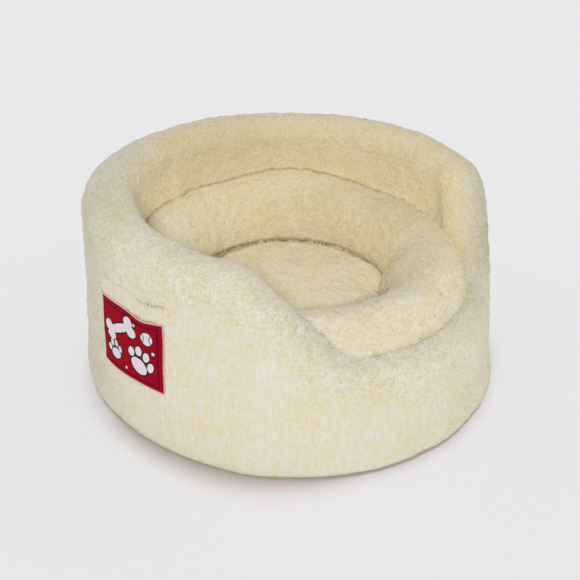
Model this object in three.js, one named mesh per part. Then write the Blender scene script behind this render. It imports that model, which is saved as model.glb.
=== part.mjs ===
// A round nest bed for a small dog or cat, in thick short-pile fleece.
// A tall padded wall with a broad round rim stands around a filled bolster ring and a crowned centre pad.
// The wall drops to a low lip at the entrance. A fleece pocket with a printed patch is sewn on its side.
//
// Sizes are in millimetres. +Z is up, the origin is on the floor under the middle of the bed,
// and the entrance faces -Y. Angles turn from -Y towards +X, seen from above.
import * as THREE from "three";
import { mergeVertices } from "three/addons/utils/BufferGeometryUtils.js";

// Wall
const RIM_RADIUS = 250; // outer face, just under the rim
const FOOT_RADIUS = 259; // outer face, just above the floor
const FOOT_ROUND = 9; // round edge between the outer face and the floor
const MEAN_RADIUS = (RIM_RADIUS + FOOT_RADIUS) / 2;
const WALL_THICKNESS = 61; // also the width of the half-round rim
const WALL_HOLLOW = 1.7; // how far the outer face is drawn in at mid height
const WALL_HEIGHT = 245; // top of the rim at the sides
const BACK_RISE = 6; // the rim is this much higher at the back, and lower in the entrance
const LIP_DROP = 117.5; // from the full rim down to the lip in the entrance
// Degrees from the middle of the entrance: the lip is level as far as `level`, the rim full from `full` on.
const ENTRANCE_LEFT = { level: 30, full: 71 }; // on the -X side
const ENTRANCE_RIGHT = { level: 31.5, full: 59 }; // on the +X side
const FOOT_OVAL = { size: 4.4, turn: 24 }; // the foot is this much longer along its turn, in degrees
const RIM_OVAL = { size: 4.2, turn: 60 };

// Cushions inside the wall
const GAP = 0.5; // between neighbouring pieces
const BASE_THICKNESS = 18;
const BASE_ROUND = 6;
const BOLSTER_CREST = 183; // radius of the bolster's crest
const BOLSTER_TOP = 166; // height of its crest
const BOLSTER_WAIST = 88; // height at which it is widest
const BOLSTER_REACH = 35.5; // from the crest out to its free outer face
const BOLSTER_CLEAR = 1.2; // from the bolster to the wall
const CREST_CLEAR = 4; // from the bolster's crest to its outer face, where the wall holds it in
const BOLSTER_FOOT_ROUND = 13;
const BOLSTER_HUMP = { angle: 129, spread: 34, size: 9.7 }; // where the filling pushes the crest up
// A crease across the bolster slants from its crest to the pad's edge, and shrinks it by a share of its size.
const BOLSTER_FOLD = { crestAngle: 67, padAngle: 80, spread: 8, share: 0.06 };
const PAD_RADIUS = 129.4;
const PAD_EDGE = 96; // height of the pad at its sewn edge
const PAD_CROWN = 13; // the middle of the pad rises this much above its edge
const PAD_SHIFT = -2.3; // the pad lies this far towards +X
// The pad's lower and upper corners, from its side inwards and from its lowest face or its edge.
const PAD_LOW_CORNER = [
  { inset: 14, above: 0 },
  { inset: 4, above: 8 },
  { inset: 0, above: 28 },
];
const PAD_CORNER = [
  { inset: 0, below: 16 },
  { inset: 2.5, below: 5 },
  { inset: 4.5, below: 2.2 },
  { inset: 7, below: 0 },
];

// Pocket and patch, on the outside of the wall. A turn, in degrees, lifts the panel's right side.
const POCKET = { angle: -95, width: 122, low: 68, high: 187.5, turn: 0, thickness: 2.6, standOff: 0.6 };
const POCKET_MOUTH = { lift: 3, depth: 30 }; // the mouth stands away from the wall over this depth
const PATCH = { angle: -95, width: 104, low: 79, high: 167, turn: 1.7, thickness: 1.1, standOff: 0.7 };
const EDGE_DIP = { angle: -89.8, spread: 6, size: 4.5 }; // both top edges sag here

const CENTRE = { x: 0.8, y: -0.3 }; // puts the middle of the outline over the origin

// Filling is never even, so each outline has a few long waves.
const RIM_WAVES = [
  { count: 3, size: 2.2, turn: -19 },
  { count: 4, size: 1.5, turn: -29 },
  { count: 5, size: 0.6, turn: 26 },
];
const OUTLINE_WAVES = [
  { count: 3, size: 0.4, turn: -55 },
  { count: 4, size: 0.4, turn: -38 },
];
const BOLSTER_WAVES = [
  { count: 2, size: 0.7, turn: 37 },
  { count: 3, size: 0.9, turn: 17 },
  { count: 4, size: 1.1, turn: -44 },
];

// Steps of the meshes
const CREASE_HALVINGS = 30; // steps of the search for the crease between bolster and wall
const AROUND = { lip: 12, rightShoulder: 11, fold: 13, back: 42, leftShoulder: 15 };
const FOLD_ZONE_END = 94; // degrees, past the fold in the bolster
const FOOT_STEPS = 3;
const FACE_STEPS = 5;
const RIM_STEPS = 9;
const INSIDE_STEPS = 3;
const UPRIGHT_STEPS = 4;
const ROLL_STEPS = 6;
const CREST_STEPS = 8;
const UNDER_STEPS = 4;
const CROWN_STEPS = 5;
const SHEET_STEPS = { across: 10, up: 9 };

const FLEECE_CREAM = 0xded6bd;
const FLEECE_WARM = 0xdccfae;
const LINING_GREY = 0xb9b4a6;
const PRINT_RED = 0xb3122b;

const radians = THREE.MathUtils.degToRad;

function waves(table, angle) {
  return table.reduce((sum, w) => sum + w.size * Math.cos(w.count * (angle - radians(w.turn))), 0);
}

function oval({ size, turn }, angle) {
  return size * Math.cos(2 * (angle - radians(turn)));
}

// A smooth bump of height 1 that reaches `spread` degrees to each side.
function bump(angle, { angle: middle, spread }) {
  const away = Math.atan2(Math.sin(angle - radians(middle)), Math.cos(angle - radians(middle)));
  return Math.exp(-((away / radians(spread)) ** 2) * 2);
}

function rimRadius(angle) {
  return RIM_RADIUS + oval(RIM_OVAL, angle) + waves(OUTLINE_WAVES, angle);
}

function footRadius(angle) {
  return FOOT_RADIUS + oval(FOOT_OVAL, angle) + waves(OUTLINE_WAVES, angle);
}

// Top of the rim: level around the back, down a soft shoulder on each side, level again in the entrance.
function wallTop(angle) {
  const away = THREE.MathUtils.radToDeg(Math.atan2(Math.sin(angle), Math.cos(angle)));
  const { level, full } = away < 0 ? ENTRANCE_LEFT : ENTRANCE_RIGHT;
  const climb = THREE.MathUtils.smoothstep(Math.abs(away), level, full);
  return WALL_HEIGHT - LIP_DROP * (1 - climb) - BACK_RISE * Math.cos(angle) + waves(RIM_WAVES, angle);
}

function wallOuter(angle, height) {
  const straightTop = wallTop(angle) - WALL_THICKNESS / 2;
  const share = THREE.MathUtils.clamp((height - FOOT_ROUND) / (straightTop - FOOT_ROUND), 0, 1);
  const slope = THREE.MathUtils.lerp(footRadius(angle), rimRadius(angle), share);
  return slope - WALL_HOLLOW * Math.sin(Math.PI * share);
}

// The inner face of the wall, `clear` millimetres inside it: upright, then round over the rim.
function wallInner(angle, height, clear) {
  const round = WALL_THICKNESS / 2;
  const middle = rimRadius(angle) - round;
  const rise = Math.max(0, height - (wallTop(angle) - round));
  if (rise >= round + clear) return Infinity;
  return middle - Math.sqrt((round + clear) ** 2 - rise ** 2);
}

function wallSection(angle) {
  const points = [];
  const round = WALL_THICKNESS / 2;
  const top = wallTop(angle);
  const foot = footRadius(angle) - FOOT_ROUND;
  for (let i = 0; i < FOOT_STEPS; i++) {
    const turn = ((i / FOOT_STEPS) * Math.PI) / 2;
    points.push([foot + FOOT_ROUND * Math.sin(turn), FOOT_ROUND * (1 - Math.cos(turn))]);
  }
  for (let i = 0; i < FACE_STEPS; i++) {
    const height = THREE.MathUtils.lerp(FOOT_ROUND, top - round, i / FACE_STEPS);
    points.push([wallOuter(angle, height), height]);
  }
  const middle = rimRadius(angle) - round;
  for (let i = 0; i < RIM_STEPS; i++) {
    const turn = (i / RIM_STEPS) * Math.PI;
    points.push([middle + round * Math.cos(turn), top - round + round * Math.sin(turn)]);
  }
  for (let i = 0; i <= INSIDE_STEPS; i++) {
    const height = (top - round) * (1 - i / INSIDE_STEPS);
    points.push([wallInner(angle, height, 0), height]);
  }
  return points;
}

function baseSection(angle) {
  const edge = wallInner(angle, 0, GAP);
  return [
    [0, 0],
    [edge / 2, 0],
    [edge, 0],
    [edge, BASE_THICKNESS - BASE_ROUND],
    [edge - BASE_ROUND, BASE_THICKNESS],
    [edge / 2, BASE_THICKNESS],
    [0, BASE_THICKNESS],
  ];
}

function padRadius(angle) {
  return PAD_RADIUS + PAD_SHIFT * Math.sin(angle);
}

function padSection(angle) {
  const side = padRadius(angle);
  const low = BASE_THICKNESS + GAP;
  const points = [
    [0, low],
    [side / 2, low],
    ...PAD_LOW_CORNER.map(({ inset, above }) => [side - inset, low + above]),
    ...PAD_CORNER.map(({ inset, below }) => [side - inset, PAD_EDGE - below]),
  ];
  const top = side - PAD_CORNER.at(-1).inset;
  for (let i = 1; i <= CROWN_STEPS; i++) {
    const share = 1 - i / CROWN_STEPS;
    points.push([top * share, PAD_EDGE + PAD_CROWN * (1 - share ** 2)]);
  }
  return points;
}

// Radius of the bolster's crest, which stays inside the wall wherever the wall is taller than the bolster.
function bolsterCrest(angle) {
  return Math.min(BOLSTER_CREST, wallInner(angle, bolsterTop(angle), BOLSTER_CLEAR) - CREST_CLEAR);
}

function bolsterTop(angle) {
  return BOLSTER_TOP + BOLSTER_HUMP.size * bump(angle, BOLSTER_HUMP) + waves(BOLSTER_WAVES, angle);
}

// Radius of the bolster's own round form, before the wall holds it in.
function bolsterFree(angle, height) {
  const reach = (height - BOLSTER_WAIST) / (bolsterTop(angle) - BOLSTER_WAIST);
  return bolsterCrest(angle) + BOLSTER_REACH * Math.sqrt(1 - THREE.MathUtils.clamp(reach, 0, 1) ** 2);
}

// The share by which the slanting crease shrinks the bolster. `inward` is 0 at its crest and 1 at the pad.
function foldShare(angle, inward) {
  const { crestAngle, padAngle, spread, share } = BOLSTER_FOLD;
  const middle = THREE.MathUtils.lerp(crestAngle, padAngle, Math.max(0, inward));
  const fade = THREE.MathUtils.smoothstep(inward, -1, 0);
  return share * fade * bump(angle, { angle: middle, spread });
}

// Height of the crease in which the bolster's own form leaves the wall.
function creaseHeight(angle) {
  let low = BOLSTER_WAIST;
  let high = bolsterTop(angle);
  for (let i = 0; i < CREASE_HALVINGS; i++) {
    const height = (low + high) / 2;
    if (bolsterFree(angle, height) < wallInner(angle, height, BOLSTER_CLEAR)) high = height;
    else low = height;
  }
  return low;
}

// The stretch of the bolster that lies on the wall: up its inner face, then over the round of the rim.
function contactPath(angle, low, crease) {
  const round = WALL_THICKNESS / 2 + BOLSTER_CLEAR;
  const rimStart = wallTop(angle) - WALL_THICKNESS / 2;
  const points = [];
  for (let i = 0; i < UPRIGHT_STEPS; i++) {
    const height = THREE.MathUtils.lerp(low, Math.min(crease, rimStart), i / UPRIGHT_STEPS);
    points.push([wallInner(angle, height, BOLSTER_CLEAR), height]);
  }
  const lastTurn = Math.asin(THREE.MathUtils.clamp((crease - rimStart) / round, 0, 1));
  for (let i = 0; i < ROLL_STEPS; i++) {
    const height = Math.min(crease, rimStart) + round * Math.sin((lastTurn * i) / ROLL_STEPS);
    points.push([wallInner(angle, height, BOLSTER_CLEAR), height]);
  }
  return points;
}

function bolsterSection(angle) {
  const crest = bolsterCrest(angle);
  const inward = crest - padRadius(angle) - GAP;
  const low = BASE_THICKNESS + GAP;
  const rise = bolsterTop(angle) - BOLSTER_WAIST;
  const crease = creaseHeight(angle);
  const points = contactPath(angle, low + BOLSTER_FOOT_ROUND, crease);
  const start = Math.asin((crease - BOLSTER_WAIST) / rise);
  for (let i = 0; i <= CREST_STEPS; i++) {
    const turn = THREE.MathUtils.lerp(start, Math.PI, i / CREST_STEPS);
    const width = Math.cos(turn) > 0 ? BOLSTER_REACH : inward;
    const size = 1 - (i > 0 ? foldShare(angle, -Math.cos(turn)) : 0);
    points.push([crest + size * width * Math.cos(turn), BOLSTER_WAIST + size * rise * Math.sin(turn)]);
  }
  // the hidden lower half is pressed nearly square by the base
  for (let i = 1; i <= UNDER_STEPS; i++) {
    const turn = ((i / UNDER_STEPS) * Math.PI) / 2;
    const width = inward * Math.sqrt(Math.cos(turn));
    points.push([crest - width, BOLSTER_WAIST - (BOLSTER_WAIST - low) * Math.sqrt(Math.sin(turn))]);
  }
  points.push([wallInner(angle, low, BOLSTER_CLEAR) - BOLSTER_FOOT_ROUND, low]);
  return points;
}

// Even steps from one angle to another, without the last, in radians.
function evenSteps(from, to, count) {
  return Array.from({ length: count }, (_, i) => radians(from + ((to - from) * i) / count));
}

// The angles of the meridians: close together where the rim climbs and where the bolster folds.
function meridianAngles() {
  const lastFull = 360 - ENTRANCE_LEFT.full;
  return [
    ...evenSteps(-ENTRANCE_LEFT.level, ENTRANCE_RIGHT.level, AROUND.lip),
    ...evenSteps(ENTRANCE_RIGHT.level, ENTRANCE_RIGHT.full, AROUND.rightShoulder),
    ...evenSteps(ENTRANCE_RIGHT.full, FOLD_ZONE_END, AROUND.fold),
    ...evenSteps(FOLD_ZONE_END, lastFull, AROUND.back),
    ...evenSteps(lastFull, 360 - ENTRANCE_LEFT.level, AROUND.leftShoulder),
  ];
}

// A lathe whose meridian changes with the angle. `closed` joins the section's end to its start.
function sweepAround(section, closed) {
  const meridian = (angle) => {
    const points = section(angle);
    return closed ? [...points, points[0]] : points;
  };
  const angles = meridianAngles();
  const lathe = new THREE.LatheGeometry(
    meridian(0).map(([radius, height]) => new THREE.Vector2(radius, height)),
    angles.length,
  );
  const position = lathe.getAttribute("position");
  const count = meridian(0).length;
  for (let step = 0; step <= angles.length; step++) {
    const angle = angles[step % angles.length];
    meridian(angle).forEach(([radius, height], i) => {
      position.setXYZ(step * count + i, radius * Math.sin(angle), -radius * Math.cos(angle), height);
    });
  }
  return finished(lathe);
}

// A flat panel bent around the wall. `innerFace` gives the radius of its back at a height and an angle.
function sheetOnWall({ angle, width, low, high, turn, thickness }, innerFace) {
  const panel = new THREE.BoxGeometry(width, high - low, thickness, SHEET_STEPS.across, SHEET_STEPS.up, 1);
  const position = panel.getAttribute("position");
  const spot = new THREE.Vector3();
  for (let i = 0; i < position.count; i++) {
    spot.fromBufferAttribute(position, i);
    const up = spot.y / (high - low) + 0.5;
    const around = radians(angle) + spot.x / MEAN_RADIUS;
    const dip = EDGE_DIP.size * up ** 2 * bump(around, EDGE_DIP);
    const height = THREE.MathUtils.lerp(low, high, up) + spot.x * Math.tan(radians(turn)) - dip;
    const out = innerFace(height, around) + thickness / 2 + spot.z;
    position.setXYZ(i, out * Math.sin(around), -out * Math.cos(around), height);
  }
  return finished(panel);
}

// The pocket's back. Its mouth stands away from the wall, most in the middle of its top edge.
function pocketInner(height, around) {
  const across = (around - radians(POCKET.angle)) * (MEAN_RADIUS / POCKET.width) + 0.5;
  const near = THREE.MathUtils.smoothstep(height, POCKET.high - POCKET_MOUTH.depth, POCKET.high);
  const lift = POCKET_MOUTH.lift * near * Math.sin(Math.PI * THREE.MathUtils.clamp(across, 0, 1));
  return wallOuter(around, height) + POCKET.standOff + lift;
}

function patchInner(height, around) {
  return pocketInner(height, around) + POCKET.thickness + PATCH.standOff;
}

// Only the positions are kept, so that shared corners can be merged into one closed surface.
function finished(geometry) {
  geometry.deleteAttribute("normal");
  geometry.deleteAttribute("uv");
  const merged = mergeVertices(geometry, 1e-4);
  merged.computeVertexNormals();
  return merged;
}

function cloth(color) {
  return new THREE.MeshStandardMaterial({ color, roughness: 0.95, metalness: 0 });
}

function piece(name, geometry, material) {
  const mesh = new THREE.Mesh(geometry, material);
  mesh.name = name;
  return mesh;
}

const cushion = new THREE.Group();
cushion.add(
  piece("bolster_ring", sweepAround(bolsterSection, true), cloth(FLEECE_WARM)),
  piece("centre_pad", sweepAround(padSection, false), cloth(FLEECE_WARM)),
);

const bed = new THREE.Group();
bed.position.set(CENTRE.x, CENTRE.y, 0);
bed.add(
  piece("wall", sweepAround(wallSection, true), cloth(FLEECE_CREAM)),
  piece("base", sweepAround(baseSection, false), cloth(LINING_GREY)),
  cushion,
  piece("pocket", sheetOnWall(POCKET, pocketInner), cloth(FLEECE_CREAM)),
  piece("patch", sheetOnWall(PATCH, patchInner), cloth(PRINT_RED)),
);

export default bed;
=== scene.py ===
import math

import bmesh
import bpy
import numpy as np
from mathutils import Matrix, Vector, noise


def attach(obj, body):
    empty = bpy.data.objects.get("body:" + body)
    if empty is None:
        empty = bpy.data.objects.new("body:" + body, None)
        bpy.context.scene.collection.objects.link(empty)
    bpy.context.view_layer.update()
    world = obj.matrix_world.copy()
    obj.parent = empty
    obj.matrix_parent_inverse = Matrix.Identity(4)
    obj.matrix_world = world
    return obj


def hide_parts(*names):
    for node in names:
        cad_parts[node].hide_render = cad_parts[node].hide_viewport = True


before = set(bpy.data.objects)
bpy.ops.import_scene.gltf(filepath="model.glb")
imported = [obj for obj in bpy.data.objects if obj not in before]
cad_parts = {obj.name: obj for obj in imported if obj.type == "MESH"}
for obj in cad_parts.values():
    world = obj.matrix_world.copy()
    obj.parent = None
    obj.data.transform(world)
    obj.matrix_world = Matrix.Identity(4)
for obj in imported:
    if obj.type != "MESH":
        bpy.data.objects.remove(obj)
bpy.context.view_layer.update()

# Camera
# It stands to the left of the entrance, looks down on the bed at 30 degrees and is turned a little about
# its own axis. It looks at a point on the bed's upright axis, a little under half its height.
CAMERA_DISTANCE = 1100
CAMERA_AZIMUTH = 51.82  # from the entrance towards -X
CAMERA_ELEVATION = 29.92
CAMERA_ROLL = 1.98
CAMERA_LOOK_AT = Vector((-0.2, 1.1, 110))
CAMERA_LENS = 53.04  # on a sensor 36 mm wide
CAMERA_SHIFT = (-0.00204, -0.02676)
MM = 0.001  # in metres


def put_in_scene(name, data, *materials):
    """An object at the origin, unturned, with its materials."""
    for material in materials:
        data.materials.append(material)
    piece = bpy.data.objects.new(name, data)
    bpy.context.scene.collection.objects.link(piece)
    return piece


azimuth, elevation = math.radians(CAMERA_AZIMUTH), math.radians(CAMERA_ELEVATION)
right = Vector((math.cos(azimuth), -math.sin(azimuth), 0))
forward = Vector((
    math.sin(azimuth) * math.cos(elevation),
    math.cos(azimuth) * math.cos(elevation),
    -math.sin(elevation),
))
turned = Matrix.Rotation(math.radians(-CAMERA_ROLL), 3, forward)
camera_data = bpy.data.cameras.new("camera")
camera_data.lens = CAMERA_LENS
camera_data.shift_x, camera_data.shift_y = CAMERA_SHIFT
camera = put_in_scene("camera", camera_data)
axes = Matrix((turned @ right, turned @ right.cross(forward), -forward)).transposed()
camera.matrix_world = Matrix.Translation((CAMERA_LOOK_AT - CAMERA_DISTANCE * forward) * MM) @ axes.to_4x4()
bpy.context.scene.camera = camera


# Floor and studio light
# A seamless pale sweep of painted board lies in a white room with a darker ceiling. The key light comes
# from behind the camera, and two wide ones fill in from the right and the back.
FLOOR_SIZE = 9  # metres
FLOOR_COLOUR = "C4B9B4"
SKY_LIGHT = {"horizon": 0.86, "above": 0.25, "rise": 0.7}  # the ceiling starts at this rise
LAMPS = {
    "key_light": {"azimuth": -52, "elevation": 32, "strength": 1.75, "width": 10},
    "right_light": {"azimuth": 60, "elevation": 50, "strength": 0.55, "width": 100},
    "back_light": {"azimuth": 180, "elevation": 50, "strength": 0.62, "width": 100},
}
# Two lamps high over the sweep are flagged off the bed: they light the board alone, and leave the shade at
# the foot. Their light is a little blue, so that the board is a neutral grey in it and warmer in the shade.
SWEEP_LAMPS = {
    "sweep_light": {"azimuth": 120, "elevation": 82.5, "strength": 1.25, "width": 9},
    "side_sweep_light": {"azimuth": 162, "elevation": 77, "strength": 1.1, "width": 12},
}
SWEEP_COLOUR = (0.753, 1, 1.194)


def linear(hex_colour):
    """An sRGB hex colour as linear red, green, blue and an alpha of 1."""
    values = [int(hex_colour[i : i + 2], 16) / 255 for i in (0, 2, 4)]
    return [v / 12.92 if v <= 0.04045 else ((v + 0.055) / 1.055) ** 2.4 for v in values] + [1]


def fill(node, *values, **named):
    """Sets or links a node's sockets, in order or by name. A node stands for its first output in use."""
    sockets = [socket for socket in node.inputs if socket.enabled]
    by_name = {socket.name.replace(" ", "_"): socket for socket in sockets}
    pairs = list(zip(sockets, values)) + [(by_name[name], value) for name, value in named.items()]
    for socket, value in pairs:
        if isinstance(value, bpy.types.Node):
            value = next(output for output in value.outputs if output.enabled)
        if isinstance(value, bpy.types.NodeSocket):
            node.id_data.links.new(value, socket)
        else:
            socket.default_value = value


def add(tree, kind, *values, **named):
    """One node. Names in small letters are its settings, and the rest are its sockets, as in `fill`."""
    node = tree.nodes.new(kind)
    links = {}
    for name, value in named.items():
        if name.islower():
            setattr(node, name, value)
        else:
            links[name] = value
    fill(node, *values, **links)
    return node


def new_material(name):
    """A material, its node tree and its shader."""
    material = bpy.data.materials.new(name)
    material.use_nodes = True
    return material, material.node_tree, material.node_tree.nodes["Principled BSDF"]


def soft_sun(name, azimuth, elevation, strength, width, colour=(1, 1, 1)):
    """A broad light. Its angles and its width are in degrees."""
    data = bpy.data.lights.new(name, "SUN")
    data.energy, data.angle, data.color = strength, math.radians(width), colour
    lamp = put_in_scene(name, data)
    turn, rise = math.radians(azimuth), math.radians(elevation)
    towards = Vector((math.sin(turn) * math.cos(rise), -math.cos(turn) * math.cos(rise), math.sin(rise)))
    lamp.rotation_euler = towards.to_track_quat("Z", "Y").to_euler()
    return lamp


# Painted board: fully matt, so that it takes no reflection of the bed.
painted_board, tree, shader = new_material("painted_board")
fill(shader, Base_Color=linear(FLOOR_COLOUR), Roughness=1, Specular_IOR_Level=0)
half = FLOOR_SIZE / 2
floor_mesh = bpy.data.meshes.new("floor")
corners = [(-half, -half, 0), (half, -half, 0), (half, half, 0), (-half, half, 0)]
floor_mesh.from_pydata(corners, [], [range(4)])
floor = put_in_scene("floor", floor_mesh, painted_board)

bpy.context.scene.view_settings.view_transform = "Standard"
world = bpy.data.worlds.new("studio")
world.use_nodes = True
bpy.context.scene.world = world
tree = world.node_tree
direction = add(tree, "ShaderNodeSeparateXYZ", add(tree, "ShaderNodeTexCoord").outputs["Generated"])
brightness = add(
    tree, "ShaderNodeMapRange", direction.outputs["Z"],
    From_Min=0, From_Max=SKY_LIGHT["rise"], To_Min=SKY_LIGHT["horizon"], To_Max=SKY_LIGHT["above"],
)
fill(tree.nodes["Background"], Color=(1, 1, 1, 1), Strength=brightness)
for name, lamp in LAMPS.items():
    soft_sun(name, **lamp)
swept = bpy.data.collections.new("swept")
swept.objects.link(floor)
for name, lamp in SWEEP_LAMPS.items():
    soft_sun(name, **lamp, colour=SWEEP_COLOUR).light_linking.receiver_collection = swept


# Wall
# The outer wall is one padded ring of foam in a fleece cover, with a half-round rim and a low lip at the
# entrance. The cover is drawn tight over the foam and turned under at the foot, where the floor cloth is
# sewn to it.
CENTRE = (0.8, -0.3)  # of the bed's own circles, in the frame
RIM_RADIUS = 250
FOOT_RADIUS = 260.5
MEAN_RADIUS = (RIM_RADIUS + FOOT_RADIUS) / 2
FOOT_ROUND = 8
WALL_THICKNESS = 61
HALF_ROUND = WALL_THICKNESS / 2
WALL_HOLLOW = 1.7
WALL_HEIGHT = 245
BACK_RISE = 6
LIP_DROP = 117.5
LIP_LEFT = {"level": 30, "full": 71}  # the lip is level up to the one angle, and the wall full at the other
LIP_RIGHT = {"level": 31.5, "full": 59}
FOOT_OVAL = [{"count": 2, "size": 4.4, "turn": 24}]
RIM_OVAL = [{"count": 2, "size": 4.2, "turn": 60}]
RIM_WAVES = [
    {"count": 3, "size": 2.2, "turn": -19},
    {"count": 4, "size": 1.5, "turn": -29},
    {"count": 5, "size": 0.6, "turn": 26},
]
OUTLINE_WAVES = [
    {"count": 3, "size": 0.4, "turn": -55},
    {"count": 4, "size": 0.4, "turn": -38},
]
FOOT_SWELL = {"angle": -70, "spread": 60, "size": 2.5}
RIM_SWELL = {"angle": 88, "spread": 40, "size": 4}
WALL_AROUND = 336  # meridians of the cover's grid
WALL_STEPS = {"under": 5, "foot": 4, "face": 44, "rim": 22, "inside": 18, "hidden": 3}
WALL_COVERED = {"height": 140, "below_rim": 6}  # the cushions hide the inner face under the lower of these

# The bolster's round top, which meets the wall in a crease.
BOLSTER_CREST = 183
BOLSTER_TOP = 166
BOLSTER_WAIST = 88
BOLSTER_REACH = 35.5
BOLSTER_CLEAR = 1.2
CREST_CLEAR = 4
BOLSTER_HUMPS = [
    {"angle": 129, "spread": 34, "size": 9.7},
    {"angle": -170, "spread": 45, "size": 2.5},
    {"angle": -178, "spread": 8, "size": 3.5},
]
BOLSTER_WAVES = [
    {"count": 2, "size": 0.7, "turn": 37},
    {"count": 3, "size": 0.9, "turn": 17},
    {"count": 4, "size": 1.1, "turn": -44},
]
SHADED_CREASE = {"angle": 165, "full": 50, "none": 110}  # the painted crease shade is full at the back and fades out towards the entrance


def smoothstep(value, low, high):
    """0 at `low`, 1 at `high` and smooth between them. It falls where `low` is the higher one."""
    share = np.clip((value - low) / (high - low), 0, 1)
    return share * share * (3 - 2 * share)


def waves(table, angle):
    """Sum of a few slow waves around the bed."""
    return sum(w["size"] * np.cos(w["count"] * (angle - math.radians(w["turn"]))) for w in table)


def away_from(middle, angle):
    """Degrees from a middle in degrees to an angle in radians, between -180 and 180."""
    turn = angle - np.radians(middle)
    return np.degrees(np.arctan2(np.sin(turn), np.cos(turn)))


def bump_at(middle, spread, angle):
    """1 in the middle, falling to a seventh at the spread."""
    return np.exp(-2 * (away_from(middle, angle) / spread) ** 2)


def swell(form, angle):
    """The size of a soft swelling at each angle."""
    return form["size"] * bump_at(form["angle"], form["spread"], angle)


def side(form, angle):
    """1 within `full` degrees of an angle, and 0 from `none` degrees on."""
    return smoothstep(np.abs(away_from(form["angle"], angle)), form["none"], form["full"])


def rim_radius(angle):
    return RIM_RADIUS + waves(RIM_OVAL + OUTLINE_WAVES, angle)


def foot_radius(angle):
    return FOOT_RADIUS + waves(FOOT_OVAL + OUTLINE_WAVES, angle) + swell(FOOT_SWELL, angle)


def wall_top(angle):
    away = away_from(0, angle)
    left, right = (smoothstep(np.abs(away), lip["level"], lip["full"]) for lip in (LIP_LEFT, LIP_RIGHT))
    climb = np.where(away < 0, left, right)
    full = WALL_HEIGHT - BACK_RISE * np.cos(angle) + waves(RIM_WAVES, angle) + swell(RIM_SWELL, angle)
    return full - LIP_DROP * (1 - climb)


def wall_outer(angle, height):
    """Radius of the outer face, a little hollow between foot and rim."""
    share = np.clip((height - FOOT_ROUND) / (wall_top(angle) - HALF_ROUND - FOOT_ROUND), 0, 1)
    slope = foot_radius(angle) * (1 - share) + rim_radius(angle) * share
    return slope - WALL_HOLLOW * np.sin(math.pi * share)


def wall_inner(angle, height, clear=0.0):
    """The inner face, `clear` inside it: upright, then round over the rim, and far away above the rim."""
    rise = np.maximum(0, height - (wall_top(angle) - HALF_ROUND))
    left = (HALF_ROUND + clear) ** 2 - rise**2
    return np.where(left > 0, rim_radius(angle) - HALF_ROUND - np.sqrt(np.maximum(left, 0)), 1e6)


def wall_row(stretch, share, angle):
    """Radius and height all around the wall, at a share of one stretch of its section."""
    level = np.zeros_like(angle)
    rim_start = wall_top(angle) - HALF_ROUND
    covered = np.minimum(WALL_COVERED["height"], rim_start - WALL_COVERED["below_rim"])
    foot = foot_radius(angle) - FOOT_ROUND
    turn = share * math.pi
    if stretch == "under":
        return wall_inner(angle, level) * (1 - share) + foot * share, level
    if stretch == "foot":
        return foot + FOOT_ROUND * math.sin(turn / 2), level + FOOT_ROUND * (1 - math.cos(turn / 2))
    if stretch == "face":
        height = FOOT_ROUND + (rim_start - FOOT_ROUND) * share
        return wall_outer(angle, height), height
    if stretch == "rim":
        middle = rim_radius(angle) - HALF_ROUND
        return middle + HALF_ROUND * math.cos(turn), rim_start + HALF_ROUND * math.sin(turn)
    if stretch == "inside":
        return wall_inner(angle, level), rim_start + (covered - rim_start) * share
    return wall_inner(angle, level), covered * (1 - share)


def around_bed(steps, row, count):
    """Angles, and the radius, height and stretch of every row of a section, at `count` places around."""
    angles = np.arange(count) * 2 * math.pi / count
    places = [(stretch, i / number) for stretch, number in steps.items() for i in range(number)]
    rows = [row(stretch, share, angles) for stretch, share in places]
    radius, height = (np.array([measures[i] + 0 * angles for measures in rows]) for i in (0, 1))
    return angles, radius, height, np.array([stretch for stretch, _ in places])


def bolster_top(angle):
    return BOLSTER_TOP + sum(swell(hump, angle) for hump in BOLSTER_HUMPS) + waves(BOLSTER_WAVES, angle)


def bolster_crest(angle):
    """Radius of the bolster's highest line, which keeps clear of the wall."""
    return np.minimum(BOLSTER_CREST, wall_inner(angle, bolster_top(angle), BOLSTER_CLEAR) - CREST_CLEAR)


def bolster_free(angle, height):
    """Radius of the bolster's own round form, outside its crest."""
    reach = np.clip((height - BOLSTER_WAIST) / (bolster_top(angle) - BOLSTER_WAIST), 0, 1)
    return bolster_crest(angle) + BOLSTER_REACH * np.sqrt(1 - reach**2)


def crease_height(angle):
    """Where the bolster's own round form leaves the wall, found by halving."""
    low, high = BOLSTER_WAIST + 0 * angle, bolster_top(angle)
    for _ in range(30):
        middle = (low + high) / 2
        free = bolster_free(angle, middle) < wall_inner(angle, middle, BOLSTER_CLEAR)
        low, high = np.where(free, low, middle), np.where(free, middle, high)
    return low


def in_place(radius, height, angle):
    """Points in the frame from radius, height and angle."""
    x, y = CENTRE[0] + radius * np.sin(angle), CENTRE[1] - radius * np.cos(angle)
    return np.stack([x, y, height + 0 * radius], -1)


def unit(vectors):
    return vectors / np.maximum(np.linalg.norm(vectors, axis=-1, keepdims=True), 1e-9)


def directions(points, closed=True, around=True):
    """Around the bed, along the section and outwards, at each point of a grid that closes or not."""
    ways = [
        np.roll(points, -1, axis) - np.roll(points, 1, axis) if joined else np.gradient(points, axis=axis)
        for axis, joined in ((1, around), (0, closed))
    ]
    sideways, along = map(unit, ways)
    return sideways, along, unit(np.cross(sideways, along))


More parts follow.
